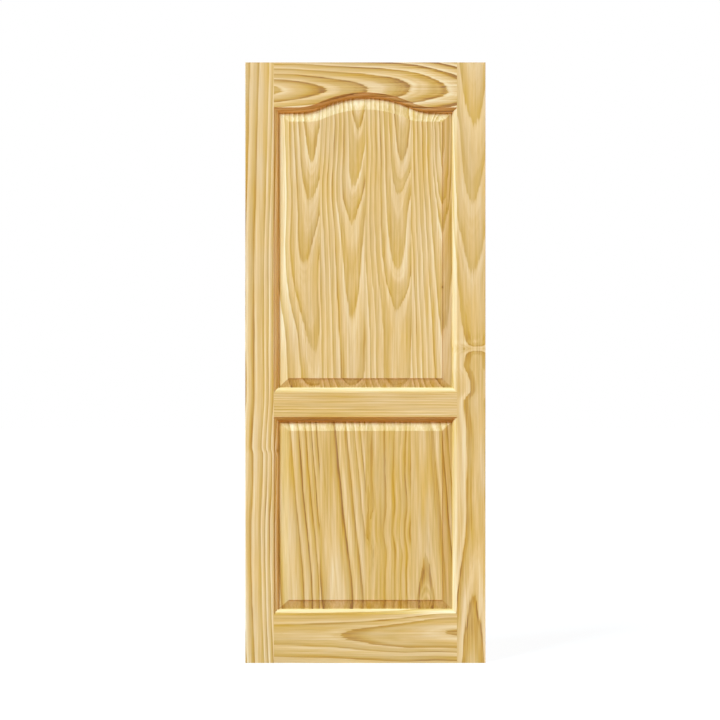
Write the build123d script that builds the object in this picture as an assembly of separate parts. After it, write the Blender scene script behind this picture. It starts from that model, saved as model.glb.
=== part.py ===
"""Two-panel exterior door leaf in solid pine, with an arched upper panel.

The leaf is a frame of two stiles and three rails round two raised panels. The inner edges of the
frame are moulded and grooved from the solid. Each rail end is coped over the stile's moulding,
fills the stile's groove with a stub tenon, and is pinned to the stile by dowels. The panels are
glued up from upright staves and raised on both faces. They stand in the grooves, free to swell
sideways and upwards.

Row frame, in millimetres: the origin is on the hinge edge, at the foot of the leaf and in the
middle of its thickness. X runs to the lock edge, Z up, and the outside face looks along -Y.
"""

import os
from math import asin, degrees

from build123d import *

# The leaf
leaf_width = 800.0
leaf_height = 2000.0
leaf_thickness = 45.0
arris_radius = 1.5

# Flat faces of the frame members, measured up to where the moulding starts
stile_face_width = 95.0
top_rail_face_height = 150.0
lock_rail_face_height = 83.0
bottom_rail_face_height = 163.0
lock_rail_face_low = 819.0

# Arch under the top rail: a level shoulder at each end, a hollow turn, then the crown
arch_rise = 50.0
arch_shoulder_length = 77.0
arch_hollow_radius = 178.0

# Moulding worked on every edge that faces a panel
moulding_width = 15.0
moulding_depth = 13.0
moulding_step = 2.4
moulding_bulge = 2.4

# Groove that holds the panels
groove_width = 12.0
groove_depth = 14.0

# Raised panels
panel_thickness = 32.0
panel_fit = 0.1
panel_play = 3.0
side_bevel_width = 34.0
end_bevel_width = 31.0
bevel_start = 1.0
field_step = 1.5
staves_per_panel = 4

# The upper field's own arch, which is lower and narrower than the top rail's
field_arch_rise = 40.0
field_arch_shoulder_length = 122.0
field_arch_hollow_radius = 100.0

# Dowels through the rail ends
dowel_diameter = 16.0
dowel_length = 120.0
dowel_fit = 0.1
dowel_hole_spare = 2.0
dowel_margin = 34.0
top_rail_dowels = 2
lock_rail_dowels = 2
bottom_rail_dowels = 3

# How far a cutting shape runs past the wood that it cuts
overcut = 5.0

# Worked out from the sizes above
stile_width = stile_face_width + moulding_width
opening_left = stile_face_width
opening_right = leaf_width - stile_face_width
shoulder_height = leaf_height - top_rail_face_height
lock_rail_face_high = lock_rail_face_low + lock_rail_face_height
tongue_thickness = groove_width - 2 * panel_fit


def moulded_edge():
    """Section cut away from a member's inner edge: a moulding on each face and the groove.

    The first axis runs from the edge into the member, the second through the leaf's thickness.
    """
    face = leaf_thickness / 2
    step_foot = (moulding_width, face - moulding_step)
    lip = (0, face - moulding_depth)
    outside = Polyline(
        lip,
        (-overcut, face - moulding_depth),
        (-overcut, face + overcut),
        (moulding_width, face + overcut),
        step_foot,
    )
    corner = make_face(outside + SagittaArc(step_foot, lip, -moulding_bulge))
    groove = Pos((groove_depth - overcut) / 2, 0) * Rectangle(
        groove_depth + overcut, groove_width
    )
    return corner + mirror(corner, about=Plane.XZ) + groove


def straight_edge_cut(start, into, along, length):
    """The moulded edge's cut, run straight from a point."""
    section = Plane(origin=start, x_dir=into, z_dir=along) * moulded_edge()
    return extrude(section, amount=length)


def arch_curve(left, right, low, rise, shoulder_length, hollow_radius):
    """A line from left to right that is level, turns up into a crown, and comes down again.

    The shoulders are measured from the opening's sides, whatever the line's own ends are.
    """
    middle = leaf_width / 2
    half_span = (opening_right - opening_left) / 2 - shoulder_length
    radii = (half_span**2 + rise**2) / (2 * rise)
    crown_radius = radii - hollow_radius
    turn = degrees(asin(half_span / radii))
    crown_centre = (middle, low + rise - crown_radius)
    hollow_left = (middle - half_span, low + hollow_radius)
    hollow_right = (middle + half_span, low + hollow_radius)
    return (
        Line((left, low), (middle - half_span, low))
        + CenterArc(hollow_left, hollow_radius, 270, turn)
        + CenterArc(crown_centre, crown_radius, 90 + turn, -2 * turn)
        + CenterArc(hollow_right, hollow_radius, 270 - turn, turn)
        + Line((middle + half_span, low), (right, low))
    )


def arch_line(drop, left, right):
    """The top rail's arch, moved into the opening by drop from the rail's face edge.

    Every such line shares its centres, so the moulding keeps one width all the way round.
    """
    low = shoulder_height - drop
    hollow_radius = arch_hollow_radius + drop
    return arch_curve(left, right, low, arch_rise, arch_shoulder_length, hollow_radius)


def dowel_heights(low, high, count):
    """Evenly spaced heights between two limits, with the margin left at each end."""
    first = low + dowel_margin
    last = high - dowel_margin
    return [first + (last - first) * i / (count - 1) for i in range(count)]


def rail_dowel_heights():
    """Dowel heights in each rail, within the height of its stub tenon."""
    groove_shift = moulding_width - groove_depth
    return {
        "top": dowel_heights(
            shoulder_height - groove_shift, leaf_height, top_rail_dowels
        ),
        "lock": dowel_heights(
            lock_rail_face_low - groove_shift,
            lock_rail_face_high + groove_shift,
            lock_rail_dowels,
        ),
        "bottom": dowel_heights(
            0, bottom_rail_face_height + groove_shift, bottom_rail_dowels
        ),
    }


def joint_places():
    """The two upright joint lines, each where a rail's shoulder meets a stile's inner edge."""
    return {"left": stile_width, "right": leaf_width - stile_width}


def dowel_holes():
    """Every dowel hole, bored through the joint line into the rail and the stile."""
    hole = Rot(0, 90, 0) * Cylinder(
        dowel_diameter / 2 + dowel_fit, dowel_length + 2 * dowel_hole_spare
    )
    return [
        Pos(x, 0, z) * hole
        for x in joint_places().values()
        for heights in rail_dowel_heights().values()
        for z in heights
    ]


def make_dowel():
    """A dowel along X, centred on the joint line that it crosses."""
    return Rot(0, 90, 0) * Cylinder(dowel_diameter / 2, dowel_length)


def member_box(left, right, low, high):
    """A full-thickness block between two sides and two heights."""
    centre = Pos((left + right) / 2, 0, (low + high) / 2)
    return centre * Box(right - left, leaf_thickness, high - low)


def make_left_stile():
    """The hinge stile, grooved and moulded all the way up, with its outer arrises eased."""
    blank = member_box(0, stile_width, 0, leaf_height)
    outer_arrises = blank.edges().filter_by(Axis.Z).group_by(Axis.X)[0]
    eased = fillet(outer_arrises, arris_radius)
    edge = straight_edge_cut((stile_width, 0, 0), (-1, 0, 0), (0, 0, 1), leaf_height)
    return eased - edge


def make_top_rail():
    """The top rail before its ends are coped, with the arch cut and moulded along its underside."""
    side = opening_left
    arch = arch_line(moulding_width, side, opening_right)
    top = Polyline(
        arch @ 1, (opening_right, leaf_height), (side, leaf_height), arch @ 0
    )
    blank = extrude(
        Plane.XZ * make_face(arch + top), amount=leaf_thickness / 2, both=True
    )
    path = Plane.XZ * arch_line(
        moulding_width, side - overcut, opening_right + overcut
    )
    section = Plane(origin=path @ 0, x_dir=(0, 0, 1), z_dir=(1, 0, 0)) * moulded_edge()
    return blank - sweep(section, path=path)


def make_lock_rail():
    """The lock rail before its ends are coped, moulded above and below."""
    low = lock_rail_face_low - moulding_width
    high = lock_rail_face_high + moulding_width
    blank = member_box(opening_left, opening_right, low, high)
    length = opening_right - opening_left
    under = straight_edge_cut((opening_left, 0, low), (0, 0, 1), (1, 0, 0), length)
    over = straight_edge_cut((opening_left, 0, high), (0, 0, -1), (1, 0, 0), length)
    return blank - under - over


def make_bottom_rail():
    """The bottom rail before its ends are coped, moulded along its upper edge."""
    high = bottom_rail_face_height + moulding_width
    blank = member_box(opening_left, opening_right, 0, high)
    length = opening_right - opening_left
    over = straight_edge_cut((opening_left, 0, high), (0, 0, -1), (1, 0, 0), length)
    return blank - over


def level_line(drop, left, right):
    """A straight head line below the lock rail, moved into the opening by drop."""
    low = lock_rail_face_low - drop
    return Line((left, low), (right, low))


def field_arch_line(drop, left, right):
    """The arched head line of the upper field, whose shoulders are drop below the rail's."""
    return arch_curve(
        left,
        right,
        shoulder_height - drop,
        field_arch_rise,
        field_arch_shoulder_length,
        field_arch_hollow_radius,
    )


def panel_outline(low, side_drop, low_drop, high_drop, head_line):
    """A panel outline on the leaf's middle plane, set in from the frame's face edges."""
    left = opening_left + side_drop
    right = opening_right - side_drop
    head = head_line(high_drop, left, right)
    foot = Polyline(head @ 1, (right, low + low_drop), (left, low + low_drop), head @ 0)
    return make_face(head + foot)


def make_panel(low, edge_line, field_line):
    """A panel raised on both faces, its foot on the groove's floor and play left elsewhere."""
    seat = moulding_width - groove_depth
    tongue = panel_outline(low, seat + panel_play, seat, seat + panel_play, edge_line)
    start = moulding_width + bevel_start
    rim = panel_outline(low, start, start, start, edge_line)
    side_end = moulding_width + side_bevel_width
    end = moulding_width + end_bevel_width
    field = panel_outline(low, side_end, end, end, field_line)
    field_foot = panel_thickness / 2 - field_step
    panel = extrude(Plane.XZ * tongue, amount=tongue_thickness / 2, both=True)
    for side in (-1, 1):
        at_tongue = Plane.XZ.offset(side * tongue_thickness / 2)
        at_field = Plane.XZ.offset(side * field_foot)
        panel += loft([at_tongue * rim, at_field * field], ruled=True)
        panel += extrude(at_field * field, amount=side * field_step)
    return panel


def cut_into_staves(panel):
    """The panel's staves from left to right, parted at evenly spaced glue lines."""
    pitch = (opening_right - opening_left) / staves_per_panel
    lefts = [opening_left + pitch * i for i in range(staves_per_panel)]
    return [panel & member_box(left, left + pitch, 0, leaf_height) for left in lefts]


def build_parts():
    """Every piece of the leaf, by the name of its node."""
    left_stile = make_left_stile()
    right_stile = mirror(left_stile, about=Plane.YZ.offset(leaf_width / 2))
    holes = dowel_holes()
    rails = {
        "top_rail": make_top_rail(),
        "lock_rail": make_lock_rail(),
        "bottom_rail": make_bottom_rail(),
    }
    parts = {
        name: rail - left_stile - right_stile - holes for name, rail in rails.items()
    }
    parts["left_stile"] = left_stile - holes
    parts["right_stile"] = right_stile - holes
    panels = {
        "upper": make_panel(lock_rail_face_high, arch_line, field_arch_line),
        "lower": make_panel(bottom_rail_face_height, level_line, level_line),
    }
    for place, panel in panels.items():
        for number, stave in enumerate(cut_into_staves(panel), start=1):
            parts[f"{place}_panel_stave_{number}"] = stave
    dowel = make_dowel()
    for side, x in joint_places().items():
        for rail, heights in rail_dowel_heights().items():
            for number, z in enumerate(heights, start=1):
                parts[f"{rail}_rail_{side}_dowel_{number}"] = Pos(x, 0, z) * dowel
    return parts


os.makedirs("parts", exist_ok=True)
for name, shape in build_parts().items():
    export_step(shape, f"parts/{name}.step")
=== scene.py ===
"""Looks of a solid pine two-panel door leaf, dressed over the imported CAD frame.

Every board is a CAD node. Each gets a pine material that is solid wood all the way through: growth
rings are counted by their distance from a pith line that wanders behind the board's outside face,
so faces, mouldings, bevels and end grain all cut the same rings.
"""

from dataclasses import dataclass
from math import pi

import bpy
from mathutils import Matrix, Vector


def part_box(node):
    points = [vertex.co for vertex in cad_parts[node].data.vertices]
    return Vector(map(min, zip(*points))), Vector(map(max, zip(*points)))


MM = 0.001

# The leaf, in millimetres, and the easing of its edges, whose least angle is in radians
LEAF_WIDTH = 800
HALF_THICKNESS = 22.5
EASING_WIDTH = 0.5
EASING_SEGMENTS = 2
EASING_LEAST_ANGLE = 0.6

# Camera: square on to the outside face
CAMERA_DISTANCE = 6.0
CAMERA_X = 0.382
CAMERA_Z = 1.009
VIEW_WIDTH = 2.3975
SENSOR_WIDTH = 36.0

# Lamps. A direction points to the lamp, and its angle in radians is how broad it looks.
LAMP_DISTANCE = 5
KEY_DIRECTION = (-0.52, -0.46, 0.73)
KEY_COLOUR = (0.615, 0.835, 0.96)
KEY_STRENGTH = 5.95
KEY_ANGLE = 0.4
SIDE_DIRECTION = (0.87, -0.33, 0.36)
SIDE_COLOUR = (1.0, 0.80, 0.42)
SIDE_STRENGTH = 0.75
SIDE_ANGLE = 0.6

# World: a warm fill from everywhere, and a light from behind, narrower with a higher focus
FILL_COLOUR = (1.0, 0.72, 0.42)
FILL_STRENGTH = 0.06
BACK_DIRECTION = (0.40, 0.62, 0.67)
BACK_COLOUR = (0.93, 0.97, 1.0)
BACK_STRENGTH = 2.9
BACK_FOCUS = 2.0

# Floor: what the camera sees is paper with some glow, and the wood gets the bounce
FLOOR_SIZE = 40.0
FLOOR_GLOW = 0.84
FLOOR_WHITE = (0.86, 0.89, 0.94)
FLOOR_BOUNCE = (0.44, 0.16, 0.02)

# Curves run over these spans, so that a curve node's 0 to 1 covers them
ALONG_SPAN = (0, 2000)
ACROSS_SPAN = (-400, 2400)
DEPTH_SPAN = (0, 200)
RADIUS_SPAN = (0, 256)
RING_SPAN = (0, 32)
FIGURE_SPAN = (0, 2)

# Wood colours by tone, from the palest early wood to the darkest late wood
PALE = (0.947, 0.883, 0.728)
CREAM = (0.916, 0.812, 0.614)
TAN = (0.858, 0.728, 0.478)
GOLD = (0.804, 0.662, 0.338)
OCHRE = (0.730, 0.550, 0.180)
BROWN = (0.585, 0.390, 0.085)
WOOD_COLOURS = [
    (0.0, PALE),
    (0.18, CREAM),
    (0.42, TAN),
    (0.62, GOLD),
    (0.84, OCHRE),
    (1.0, BROWN),
]
MEAN_TONE = 0.42

# Tone across one growth ring, from its pale early wood to its dark late wood
RING_TONES = [
    (0.0, 0.36),
    (0.03, 0.24),
    (0.10, 0.18),
    (0.22, 0.26),
    (0.38, 0.38),
    (0.54, 0.44),
    (0.68, 0.53),
    (0.82, 0.63),
    (0.93, 0.70),
    (0.98, 0.68),
    (1.0, 0.40),
]


@dataclass
class Grain:
    """Noise drawn out along the grain: its scales, for each millimetre, and its weight."""

    across: float
    along: float
    weight: float
    detail: float = 2.0
    roughness: float = 0.5


# Grain that moves the rings, by millimetres
RIPPLE = Grain(0.03, 0.006, 2.2, detail=3.0)
FEATHER = Grain(0.24, 0.003, 1.8)

# Grain that changes the tone
RING_FADE = Grain(0.03, 0.005, 0.35)
STREAKS = Grain(0.15, 0.0025, 0.26, detail=3.0)
FINE_STREAKS = Grain(0.30, 0.006, 0.26)
CLOUDS = Grain(0.007, 0.0025, 0.12)
FIBRES = Grain(1.3, 0.02, 0.14, detail=4.0, roughness=0.65)
CANALS = Grain(1.0, 0.045, 0.7, detail=1.0)
CANAL_THRESHOLD = 0.42

# Grain that changes how yellow the wood is
BROAD_YELLOW = Grain(0.02, 0.004, 0.16)
FINE_YELLOW = Grain(0.08, 0.004, 0.14)

# The pith line's sway along the log
SWAY_SCALE = 0.005
SWAY_DETAIL = 2.5

# Each ring has its own strength, from the least up by as much as the spread
RING_LEAST = 0.7
RING_SPREAD = 0.6

# How soon a ring gains its full strength as the face cuts across it, and the stripes in a ring
CROSSING_GAIN = 1.4
STRIPES_PER_RING = 5.0
STRIPE_SCALE_ALONG = 0.002
STRIPE_TONE = 0.26

# Knots, and the rings' swerve round them, as multiples of the knot's size
KNOT_TONE = 0.45
KNOT_LENGTH = 1.6
SWERVE_WIDTH = 3
SWERVE_LENGTH = 5

# Cut ends, and the painted light and shade on slopes
END_TONE = 0.22
END_POWER = 1.5
PAINTED_SLOPE_LIGHT_AND_SHADE = 0.4

# The surface: its roughness falls as the tone deepens
PALE_ROUGHNESS = 0.66
ROUGHNESS_FALL = 0.12
SPECULAR_LEVEL = 1.0
BUMP_STRENGTH = 0.25
BUMP_DISTANCE = 0.0004
FIBRE_HEIGHT = 0.6
CANAL_DEPTH = 2.0


@dataclass
class Board:
    """How one board was sawn from its log. All lengths are in millimetres, in the row frame.

    centre: the pith line's place across the board, at some places along the grain
    depth: how far the pith line lies behind the board's outside face, given in the same way
    rings: the growth rings' radii
    grain: the axis that the grain runs along
    early, late: how strongly the pale early wood and the dark late wood show
    tone: how much darker than the mean the whole board is
    sway: how far the pith line strays from the places given
    ripple: how much the rings waver, as a multiple of what is usual
    tip: how strongly rings show where the face only touches them
    crisp: above 1, dark late wood is narrower
    figure: how strongly the grain shows, at some places along it
    knots: (across, along, size) of each
    patches: (across, along, half width, half length, change of tone) of each; some are grain, and
    some are painted light or shade on mouldings and bevels
    seed: sets the board's noise apart from the others'
    """

    node: str
    centre: list
    depth: list
    rings: list
    grain: str = "Z"
    early: float = 1.0
    late: float = 1.0
    tone: float = 0.0
    sway: float = 5.0
    ripple: float = 1.0
    tip: float = 0.5
    crisp: float = 1.0
    figure: tuple = ((0, 1.0), (2000, 1.0))
    knots: tuple = ()
    patches: tuple = ()
    seed: float = 0.0


def even_rings(first, width, count):
    """Radii of evenly spaced growth rings."""
    return [first + width * i for i in range(count)]


BOARDS = [
    Board(
        "left_stile",
        centre=[
            (0, -49), (210, -58), (426, -60), (693, -52), (719, -57),
            (876, -49), (1409, -47), (1675, -38), (2000, -29),
        ],
        depth=[(0, 30), (2000, 42)],
        rings=[20, 40, 62, 87, 117, 131, 147, 163, 180],
        early=1.3,
        late=1.5,
        tone=-0.02,
        sway=2.5,
        figure=((0, 0.85), (1000, 0.85), (1400, 0.75), (1800, 0.6), (2000, 0.6)),
        knots=((106, 706, 4.0),),
        # Both patches paint light onto the stile's moulding beside the panels, which faces away
        # from the key lamp
        patches=((107, 1500, 7, 420, -0.22), (105, 480, 8, 330, -0.09)),
        seed=1.3,
    ),
    Board(
        "right_stile",
        centre=[
            (0, 758), (210, 762), (536, 779), (766, 779), (870, 771),
            (909, 792), (960, 784), (992, 768), (1057, 769),
            (1302, 760), (1542, 757), (1795, 763), (2000, 761),
        ],
        depth=[
            (0, 103), (230, 110), (536, 117), (882, 116.5), (1022, 118),
            (1038, 122), (1046, 129), (1056, 122), (1071, 118.5),
            (1209, 113), (1302, 110), (1542, 94), (1795, 78), (2000, 62),
        ],
        rings=[46, 62, 78, 94, 110, 124, 164, 184],
        early=0.9,
        late=1.5,
        sway=3,
        tip=0.7,
        figure=((0, 1.1), (900, 1.0), (1060, 1.1), (1150, 0.65), (1500, 0.6), (2000, 0.55)),
        knots=((729, 1046, 3.0),),
        patches=(
            (758, 130, 22, 110, 0.16),
            (765, 1068, 60, 8, -0.14),
            # This patch is a painted highlight, a pale line along the moulding beside the panels
            (697, 1000, 8, 1600, -0.26),
        ),
        seed=7.1,
    ),
    Board(
        "top_rail",
        centre=[(95, 1905), (410, 1911), (553, 1915), (676, 1908)],
        depth=[(95, 29), (265, 48), (410, 64), (553, 80), (676, 96), (705, 100)],
        rings=even_rings(16, 16, 10),
        grain="X",
        early=1.5,
        late=1.7,
        tone=0.06,
        sway=3,
        tip=0.8,
        figure=((95, 0.6), (330, 0.85), (440, 1.2), (705, 1.25)),
        # The patch paints light onto the shaded left part of the arch moulding
        patches=((1842, 160, 14, 90, -0.36),),
        seed=3.7,
    ),
    Board(
        "lock_rail",
        centre=[(95, 750), (705, 742)],
        depth=[(95, 60), (705, 52)],
        rings=even_rings(10, 8, 25),
        grain="X",
        early=0.5,
        late=0.5,
        tone=0.03,
        sway=2,
        # The first patch is a painted highlight on the top moulding; the second is a painted shadow
        # line at the foot of the lower moulding
        patches=((910, 400, 7, 600, -0.05), (809, 400, 6, 600, 0.22)),
        seed=11.9,
    ),
    Board(
        "bottom_rail",
        centre=[(95, 95), (310, 93), (500, 92), (666, 100), (705, 100)],
        depth=[(95, 64), (200, 63), (310, 60), (666, 33), (705, 31)],
        rings=[16, 33, 60, 73, 98, 124],
        grain="X",
        late=1.5,
        tone=0.08,
        sway=3,
        tip=0.8,
        crisp=1.3,
        figure=((95, 0.6), (300, 0.75), (705, 0.8)),
        seed=5.3,
    ),
    Board(
        "upper_panel_stave_1",
        centre=[(950, 228), (1032, 228), (1333, 198), (1542, 214), (1676, 221), (1900, 222)],
        depth=[
            (902, 90), (1032, 84), (1333, 70), (1542, 56), (1676, 42),
            (1790, 33), (1804, 31), (1835, 22), (1850, 21),
        ],
        rings=[14, 28, 42, 56, 70, 84, 98, 126, 154, 182],
        patches=((122, 1350, 14, 520, -0.20),),
        seed=13.1,
    ),
    Board(
        "upper_panel_stave_2",
        centre=[(902, 356), (1469, 356), (1586, 359), (1780, 376), (1900, 378)],
        depth=[
            (902, 76), (1142, 70), (1469, 56), (1586, 42), (1780, 28),
            (1842, 18), (1883, 4), (1900, 3),
        ],
        rings=even_rings(14, 14, 14),
        # The patch paints light into the shadow that the arch moulding casts on the top bevel
        patches=((370, 1866, 60, 16, -0.14),),
        seed=17.7,
    ),
    Board(
        "upper_panel_stave_3",
        centre=[(902, 506), (1312, 506), (1567, 511), (1676, 522), (1900, 524)],
        depth=[
            (902, 88), (1167, 84), (1312, 70), (1567, 56), (1676, 42),
            (1800, 33), (1828, 31), (1868, 22), (1900, 21),
        ],
        rings=even_rings(14, 14, 14),
        early=1.15,
        late=1.2,
        # The patch paints light into the shadow that the arch moulding casts on the top bevel
        patches=((430, 1866, 60, 16, -0.14),),
        seed=19.9,
    ),
    Board(
        "upper_panel_stave_4",
        centre=[(902, 680), (1490, 668), (1900, 660)],
        depth=[(902, 72), (1490, 50), (1575, 44), (1804, 38), (1900, 38)],
        rings=[14, 28, 42, 50, 56, 70, 84, 98, 112],
        early=0.9,
        late=1.1,
        knots=((657, 1252, 3.0),),
        patches=((678, 1480, 12, 220, 0.22),),
        seed=23.3,
    ),
    Board(
        "lower_panel_stave_1",
        centre=[(164, 160), (233, 155), (350, 147), (543, 128), (769, 110), (815, 107)],
        depth=[(164, 10), (815, 10)],
        rings=[43, 70, 93, 112, 130],
        late=1.4,
        tone=0.14,
        sway=2,
        crisp=1.5,
        figure=((164, 0.75), (815, 0.8)),
        # The second patch paints the top bevel paler, as painted light where it faces the lamp from
        # above
        patches=((158, 560, 16, 350, -0.14), (171, 789, 110, 14, -0.12)),
        seed=29.1,
    ),
    Board(
        "lower_panel_stave_2",
        centre=[(164, 308), (233, 305), (543, 272), (769, 250), (815, 247)],
        depth=[(164, 10), (815, 10)],
        rings=[54, 89, 116, 135, 153],
        late=1.4,
        tone=0.14,
        sway=2,
        crisp=1.5,
        # The second patch paints the top bevel paler, as painted light where it faces the lamp from
        # above
        patches=((278, 640, 24, 200, 0.22), (324, 789, 110, 14, -0.12)),
        seed=31.7,
    ),
    Board(
        "lower_panel_stave_3",
        centre=[
            (164, 422), (290, 417), (357, 420), (440, 412),
            (530, 416), (640, 411), (815, 414),
        ],
        depth=[(164, 20), (366, 16), (769, 8), (815, 7)],
        rings=[16, 55, 84, 104, 123],
        tone=0.14,
        ripple=3.5,
        crisp=1.5,
        figure=((164, 0.8), (815, 0.8)),
        patches=(
            (418, 715, 8, 60, 0.15),
            (535, 600, 12, 250, 0.10),
            # This patch paints the top bevel paler, as painted light where it faces the lamp from
            # above
            (476, 789, 110, 14, -0.12),
        ),
        seed=37.3,
    ),
    Board(
        "lower_panel_stave_4",
        centre=[(164, 603), (357, 600), (543, 585), (769, 566), (815, 563)],
        depth=[(164, 8), (193, 14), (357, 34), (543, 38), (815, 40)],
        rings=[17, 34, 73, 100, 119, 135],
        early=0.7,
        late=1.05,
        tone=0.14,
        sway=2,
        crisp=1.5,
        # The second patch paints the top bevel paler, as painted light where it faces the lamp from
        # above
        patches=((600, 235, 26, 90, 0.16), (629, 789, 110, 14, -0.12)),
        seed=41.9,
    ),
]

# A dowel's pith line, below its middle and behind its face, in millimetres
DOWEL_PITH_DROP = 40
DOWEL_PITH_DEPTH = 60


def dowel_board(node):
    """A dowel's board: straight plain grain along it."""
    low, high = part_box(node)
    middle = (low.z + high.z) / 2 / MM
    pith = middle - DOWEL_PITH_DROP
    return Board(
        node,
        centre=[(0, pith), (LEAF_WIDTH, pith)],
        depth=[(0, DOWEL_PITH_DEPTH), (LEAF_WIDTH, DOWEL_PITH_DEPTH)],
        rings=even_rings(4, 4, 25),
        grain="X",
        early=0.5,
        late=0.5,
        seed=middle,
    )


def opaque(colour):
    """A colour as the RGBA that shader sockets take."""
    return (*colour, 1.0)


def to_linear(colour):
    """An sRGB colour as a linear, opaque one."""
    return opaque(c / 12.92 if c <= 0.04045 else ((c + 0.055) / 1.055) ** 2.4 for c in colour)


def grey(value):
    """An opaque grey of this value."""
    return opaque((value, value, value))


class Graph:
    """Adds shader nodes to a tree, so that a material's formula can be read as calls."""

    def __init__(self, tree):
        self.tree = tree

    def node(self, kind, **settings):
        """A new node with these settings."""
        made = self.tree.nodes.new(kind)
        for name, value in settings.items():
            setattr(made, name, value)
        return made

    def feed(self, socket, value):
        """Links another node's output to a socket, or sets the socket's own value."""
        if isinstance(value, bpy.types.NodeSocket):
            self.tree.links.new(value, socket)
        else:
            socket.default_value = value

    def math(self, operation, *values):
        """One step of arithmetic."""
        made = self.node("ShaderNodeMath", operation=operation)
        for socket, value in zip(made.inputs, values):
            self.feed(socket, value)
        return made.outputs[0]

    def add(self, a, b):
        return self.math("ADD", a, b)

    def subtract(self, a, b):
        return self.math("SUBTRACT", a, b)

    def multiply(self, a, b):
        return self.math("MULTIPLY", a, b)

    def join(self, x, y, z):
        """A vector from its three parts."""
        made = self.node("ShaderNodeCombineXYZ")
        for socket, value in zip(made.inputs, (x, y, z)):
            self.feed(socket, value)
        return made.outputs[0]

    def split(self, vector):
        """A vector's parts, which can be had by number or by the name of their axis."""
        made = self.node("ShaderNodeSeparateXYZ")
        self.feed(made.inputs[0], vector)
        return made.outputs

    def curve(self, value, points, span, heights):
        """A smooth curve through (place, height) points, with flat ends."""
        made = self.node("ShaderNodeFloatCurve")
        line = made.mapping.curves[0]
        first, last = span
        low, high = heights
        spots = [
            ((place - first) / (last - first), (height - low) / (high - low))
            for place, height in points
        ]
        while len(line.points) < len(spots):
            line.points.new(0.5, 0.5)
        for point, spot in zip(line.points, spots):
            point.location = spot
            point.handle_type = "AUTO_CLAMPED"
        made.mapping.update()
        from_first = self.subtract(value, first)
        self.feed(made.inputs["Value"], self.multiply(from_first, 1 / (last - first)))
        scaled = self.multiply(made.outputs[0], high - low)
        return self.add(scaled, low)

    def ramp(self, value, stops):
        """A colour that changes evenly through (place, colour) stops."""
        made = self.node("ShaderNodeValToRGB")
        made.color_ramp.interpolation = "LINEAR"
        elements = made.color_ramp.elements
        while len(elements) < len(stops):
            elements.new(0.5)
        for element, (place, colour) in zip(elements, stops):
            element.position = place
            element.color = colour
        self.feed(made.inputs["Fac"], value)
        return made.outputs["Color"]

    def noise(self, vector, detail=2.0, roughness=0.5):
        """Noise from -1 to 1."""
        made = self.node("ShaderNodeTexNoise")
        self.feed(made.inputs["Vector"], vector)
        self.feed(made.inputs["Scale"], 1.0)
        self.feed(made.inputs["Detail"], detail)
        self.feed(made.inputs["Roughness"], roughness)
        return self.subtract(self.multiply(made.outputs["Fac"], 2.0), 1.0)

    def coloured(self, kind, colour):
        """A new shader node of one colour."""
        made = self.node(kind)
        self.feed(made.inputs["Color"], opaque(colour))
        return made

    def mix(self, share, first, second):
        """The first shader where the share is 0, and the second where it is 1."""
        made = self.node("ShaderNodeMixShader")
        for socket, value in zip(made.inputs, (share, first, second)):
            self.feed(socket, value)
        return made.outputs["Shader"]

    def seen_directly(self):
        """1 for what the camera sees, itself or by reflection or through glass, and otherwise 0."""
        path = self.node("ShaderNodeLightPath").outputs
        mirrored = self.math("MAXIMUM", path["Is Glossy Ray"], path["Is Transmission Ray"])
        return self.math("MAXIMUM", path["Is Camera Ray"], mirrored)


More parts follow.
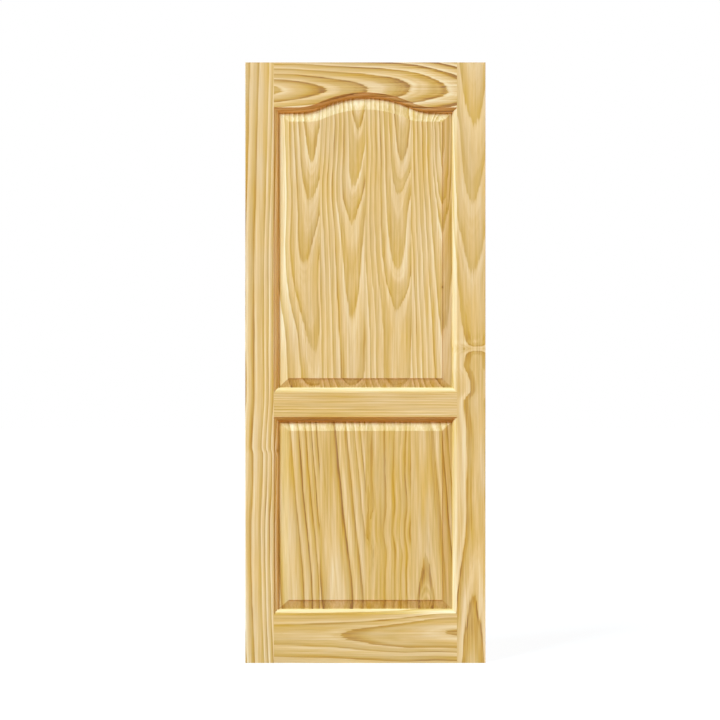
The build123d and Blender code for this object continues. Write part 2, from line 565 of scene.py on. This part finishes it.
class Wood(Graph):
    """Adds one board's nodes. A point lies at along and across, which follow the grain, and
    inward, which starts at the board's outside face, all in millimetres.
    """

    def __init__(self, tree, board):
        super().__init__(tree)
        self.board = board
        place = self.node("ShaderNodeTexCoord").outputs["Object"]
        x, y, z = (self.multiply(axis, 1 / MM) for axis in self.split(place))
        self.along, self.across = (x, z) if board.grain == "X" else (z, x)
        self.inward = self.subtract(y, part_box(board.node)[0].y / MM)

    def grain_noise(self, kind):
        """A kind of grain, from -1 to 1."""
        sideways = self.multiply(self.across, kind.across)
        deep = self.add(self.multiply(self.inward, kind.across), self.board.seed)
        place = self.join(sideways, self.multiply(self.along, kind.along), deep)
        return self.noise(place, kind.detail, kind.roughness)

    def grain(self, kind):
        """A kind of grain at its weight."""
        return self.multiply(self.grain_noise(kind), kind.weight)

    def blot(self, across, along, wide, long):
        """1 at a spot, fading to 0 over these distances."""
        aside = self.multiply(self.subtract(self.across, across), 1 / wide)
        up = self.multiply(self.subtract(self.along, along), 1 / long)
        reach = self.add(self.multiply(aside, aside), self.multiply(up, up))
        return self.math("EXPONENT", self.multiply(reach, -1.0))

    def rings(self):
        """How far to the side of the pith line a point lies, and the radius of its ring."""
        board = self.board
        slow = self.join(self.multiply(self.along, SWAY_SCALE), board.seed, 0.0)
        sway = self.multiply(self.noise(slow, SWAY_DETAIL), board.sway)
        centre = self.curve(self.along, board.centre, ALONG_SPAN, ACROSS_SPAN)
        depth = self.curve(self.along, board.depth, ALONG_SPAN, DEPTH_SPAN)
        beside = self.add(self.subtract(self.across, centre), sway)
        behind = self.add(depth, self.inward)
        squares = self.add(self.multiply(beside, beside), self.multiply(behind, behind))
        radius = self.math("SQRT", squares)
        ripple = self.multiply(self.grain_noise(RIPPLE), RIPPLE.weight * board.ripple)
        radius = self.add(self.add(radius, ripple), self.grain(FEATHER))
        for across, along, size in board.knots:
            swerve = self.blot(across, along, size * SWERVE_WIDTH, size * SWERVE_LENGTH)
            radius = self.add(radius, self.multiply(swerve, size))
        return beside, radius

    def spots(self):
        """What knots and patches add to the tone."""
        knots = [
            (across, along, size, size * KNOT_LENGTH, KNOT_TONE)
            for across, along, size in self.board.knots
        ]
        total = 0.0
        for *place_and_size, change in [*knots, *self.board.patches]:
            total = self.add(self.multiply(self.blot(*place_and_size), change), total)
        return total

    def ring_tone(self, beside, radius):
        """The tone of the growth rings, fainter where the face runs along them."""
        board = self.board
        counts = [(0, 0)] + [(reach, number) for number, reach in enumerate(board.rings, start=1)]
        ring = self.curve(radius, counts, RADIUS_SPAN, RING_SPAN)
        phase = self.math("POWER", self.math("FRACT", ring), board.crisp)
        vigour = self.node("ShaderNodeTexWhiteNoise", noise_dimensions="1D")
        self.feed(vigour.inputs["W"], self.add(self.math("FLOOR", ring), board.seed))
        strength = self.add(self.multiply(vigour.outputs["Value"], RING_SPREAD), RING_LEAST)
        strength = self.add(strength, self.grain(RING_FADE))
        profile = self.ramp(phase, [(place, grey(tone)) for place, tone in RING_TONES])
        swing = self.subtract(profile, MEAN_TONE)
        slant = self.math("DIVIDE", self.math("ABSOLUTE", beside), radius)
        crossing = self.add(self.multiply(slant, CROSSING_GAIN), board.tip)
        crossing = self.math("MINIMUM", crossing, 1.0)
        late = self.multiply(self.math("MAXIMUM", swing, 0.0), board.late)
        early = self.multiply(self.math("MINIMUM", swing, 0.0), board.early)
        tone = self.multiply(self.multiply(self.add(late, early), crossing), strength)
        in_ring = self.multiply(ring, STRIPES_PER_RING)
        stripes = self.join(in_ring, self.multiply(self.along, STRIPE_SCALE_ALONG), board.seed)
        return self.add(tone, self.multiply(self.noise(stripes), STRIPE_TONE))

    def way_tone(self, tone):
        """The tone, changed by the way that the surface faces: darker on cut ends, and with painted
        light and shade on slopes.
        """
        facing = self.split(self.node("ShaderNodeNewGeometry").outputs["Normal"])

        # Cut ends are darker, because their pores take in light
        end = self.math("ABSOLUTE", facing[self.board.grain])
        tone = self.add(tone, self.multiply(self.math("POWER", end, END_POWER), END_TONE))

        # Painted light and shade: slopes that look up are painted paler and those that look down
        # darker, as the lamp from above would light them
        up = facing["Z"]
        level = self.subtract(1.0, self.math("ABSOLUTE", up))
        return self.subtract(tone, self.multiply(self.multiply(up, level), PAINTED_SLOPE_LIGHT_AND_SHADE))


def pine(board):
    """The solid-wood material of one board."""
    material = bpy.data.materials.new("pine_" + board.node)
    material.use_nodes = True
    shader = material.node_tree.nodes["Principled BSDF"]
    g = Wood(material.node_tree, board)

    # Fibres drawn out along the grain, and resin canals
    fibre = g.grain_noise(FIBRES)
    canals = g.math("MAXIMUM", g.subtract(g.grain_noise(CANALS), CANAL_THRESHOLD), 0.0)

    # Growth rings and streaks have the board's figure. The rest shows all along it.
    beside, radius = g.rings()
    tone = g.ring_tone(beside, radius)
    tone = g.add(tone, g.grain(STREAKS))
    tone = g.add(tone, g.grain(FINE_STREAKS))
    tone = g.multiply(tone, g.curve(g.along, board.figure, ALONG_SPAN, FIGURE_SPAN))
    tone = g.add(g.add(tone, MEAN_TONE + board.tone), g.spots())
    tone = g.add(tone, g.grain(CLOUDS))
    tone = g.add(tone, g.multiply(fibre, FIBRES.weight))
    tone = g.add(tone, g.multiply(canals, CANALS.weight))
    tone = g.way_tone(tone)

    colour = g.ramp(tone, [(place, to_linear(wood)) for place, wood in WOOD_COLOURS])
    yellow = g.add(g.grain(FINE_YELLOW), g.add(g.grain(BROAD_YELLOW), 1.0))
    tint = g.node("ShaderNodeHueSaturation")
    g.feed(tint.inputs["Saturation"], yellow)
    g.feed(tint.inputs["Color"], colour)
    g.feed(shader.inputs["Base Color"], tint.outputs["Color"])
    roughness = g.subtract(PALE_ROUGHNESS, g.multiply(tone, ROUGHNESS_FALL))
    g.feed(shader.inputs["Roughness"], roughness)
    g.feed(shader.inputs["Specular IOR Level"], SPECULAR_LEVEL)

    relief = g.subtract(g.multiply(fibre, FIBRE_HEIGHT), g.multiply(canals, CANAL_DEPTH))
    bump = g.node("ShaderNodeBump")
    g.feed(bump.inputs["Strength"], BUMP_STRENGTH)
    g.feed(bump.inputs["Distance"], BUMP_DISTANCE)
    g.feed(bump.inputs["Height"], relief)
    g.feed(shader.inputs["Normal"], bump.outputs["Normal"])
    return material


def dress(node, material):
    """Gives a CAD node its material and a fine eased edge."""
    node.data.materials.clear()
    node.data.materials.append(material)
    easing = node.modifiers.new("eased_edges", "BEVEL")
    easing.width = EASING_WIDTH * MM
    easing.segments = EASING_SEGMENTS
    easing.limit_method = "ANGLE"
    easing.angle_limit = EASING_LEAST_ANGLE
    easing.harden_normals = True


def add_camera():
    """The photograph's camera, level and framed by what it sees at the outside face."""
    data = bpy.data.cameras.new("camera")
    data.sensor_width = SENSOR_WIDTH
    data.lens = SENSOR_WIDTH * (CAMERA_DISTANCE - HALF_THICKNESS * MM) / VIEW_WIDTH
    camera = bpy.data.objects.new("camera", data)
    camera.location = (CAMERA_X, -CAMERA_DISTANCE, CAMERA_Z)
    camera.rotation_euler = (pi / 2, 0, 0)
    bpy.context.scene.collection.objects.link(camera)
    bpy.context.scene.camera = camera


def add_sun(name, direction, colour, strength, angle):
    """A broad lamp far away, shining from a direction."""
    data = bpy.data.lights.new(name, "SUN")
    data.color = colour
    data.energy = strength
    data.angle = angle
    lamp = bpy.data.objects.new(name, data)
    lamp.rotation_euler = Vector(direction).to_track_quat("Z", "Y").to_euler()
    lamp.location = Vector(direction) * LAMP_DISTANCE
    bpy.context.scene.collection.objects.link(lamp)


def add_world():
    """White to the camera and in reflections, with a low warm fill and a soft light from behind."""
    world = bpy.data.worlds.new("studio")
    world.use_nodes = True
    nodes = world.node_tree.nodes
    g = Graph(world.node_tree)
    fill = nodes["Background"]
    g.feed(fill.inputs["Color"], opaque(FILL_COLOUR))
    g.feed(fill.inputs["Strength"], FILL_STRENGTH)

    # The light from behind reaches only what faces away from the front
    way = g.node("ShaderNodeTexCoord").outputs["Generated"]
    towards = g.node("ShaderNodeVectorMath", operation="DOT_PRODUCT")
    g.feed(towards.inputs[0], way)
    g.feed(towards.inputs[1], BACK_DIRECTION)
    lobe = g.math("POWER", g.math("MAXIMUM", towards.outputs["Value"], 0.0), BACK_FOCUS)
    behind = g.math("GREATER_THAN", g.split(way)["Y"], 0.0)
    back = g.coloured("ShaderNodeBackground", BACK_COLOUR)
    g.feed(back.inputs["Strength"], g.multiply(g.multiply(lobe, behind), BACK_STRENGTH))
    lights = g.node("ShaderNodeAddShader")
    g.feed(lights.inputs[0], fill.outputs["Background"])
    g.feed(lights.inputs[1], back.outputs["Background"])

    white = g.coloured("ShaderNodeBackground", (1.0, 1.0, 1.0)).outputs["Background"]
    seen = g.mix(g.seen_directly(), lights.outputs["Shader"], white)
    g.feed(nodes["World Output"].inputs["Surface"], seen)
    bpy.context.scene.world = world


def floor_material():
    """White with the object's shadow to the camera, and a warm bounce to the wood."""
    material = bpy.data.materials.new("floor_white")
    material.use_nodes = True
    nodes = material.node_tree.nodes
    nodes.remove(nodes["Principled BSDF"])
    g = Graph(material.node_tree)
    paper = g.coloured("ShaderNodeBsdfDiffuse", FLOOR_WHITE).outputs["BSDF"]
    glow = g.node("ShaderNodeEmission").outputs["Emission"]
    bounce = g.coloured("ShaderNodeBsdfDiffuse", FLOOR_BOUNCE).outputs["BSDF"]
    seen = g.mix(g.seen_directly(), bounce, g.mix(FLOOR_GLOW, paper, glow))
    g.feed(nodes["Material Output"].inputs["Surface"], seen)
    return material


def add_floor():
    """A level floor under the leaf, which isn't part of it."""
    half = FLOOR_SIZE / 2
    outline = [(-half, -half, 0), (half, -half, 0), (half, half, 0), (-half, half, 0)]
    mesh = bpy.data.meshes.new("floor")
    mesh.from_pydata(outline, [], [(0, 1, 2, 3)])
    mesh.materials.append(floor_material())
    floor = bpy.data.objects.new("floor", mesh)
    bpy.context.scene.collection.objects.link(floor)


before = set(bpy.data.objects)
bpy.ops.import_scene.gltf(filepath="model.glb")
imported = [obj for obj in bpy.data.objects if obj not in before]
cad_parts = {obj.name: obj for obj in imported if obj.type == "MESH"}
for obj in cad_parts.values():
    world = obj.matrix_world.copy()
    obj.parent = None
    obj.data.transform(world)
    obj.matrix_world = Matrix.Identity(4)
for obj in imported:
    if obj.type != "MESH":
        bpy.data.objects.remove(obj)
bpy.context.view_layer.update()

bpy.context.scene.view_settings.view_transform = "Standard"
add_camera()
add_sun("key", KEY_DIRECTION, KEY_COLOUR, KEY_STRENGTH, KEY_ANGLE)
add_sun("side", SIDE_DIRECTION, SIDE_COLOUR, SIDE_STRENGTH, SIDE_ANGLE)
add_world()
add_floor()

for board in BOARDS:
    dress(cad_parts[board.node], pine(board))
for name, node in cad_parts.items():
    if "dowel" in name:
        dress(node, pine(dowel_board(name)))
